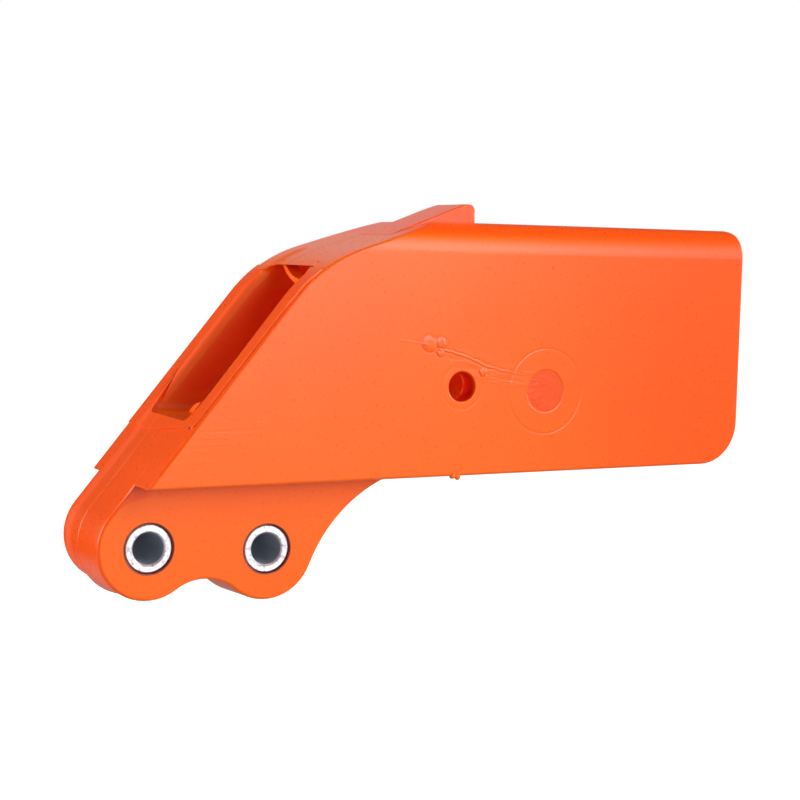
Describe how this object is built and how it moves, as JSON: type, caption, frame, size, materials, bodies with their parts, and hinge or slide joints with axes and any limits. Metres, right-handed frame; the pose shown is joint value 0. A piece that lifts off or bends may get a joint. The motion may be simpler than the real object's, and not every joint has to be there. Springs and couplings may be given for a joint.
{
  "type": "motorcycle chain guide",
  "caption": "Hollow moulded plastic chain guide with a sloped mouth, a tab on top and a lobed mounting ear that holds steel spacer bushings.",
  "frame": {"origin": "middle of the rear bushing, on its axis", "axes": "+X along the long edges of the body, from the mounting ear to the front end; +Y across the width, from the near side with the hole to the far side; +Z from the ear up to the flat top"},
  "size_m": [0.1501, 0.0345, 0.0827],
  "materials": {
    "orange_plastic": "satin moulded plastic",
    "bushing_steel": "zinc-plated steel, turned"
  },
  "bodies": {
    "root": {"guide_body": "orange_plastic", "rear_bushing": "bushing_steel", "front_bushing": "bushing_steel"}
  },
  "joints": []
}
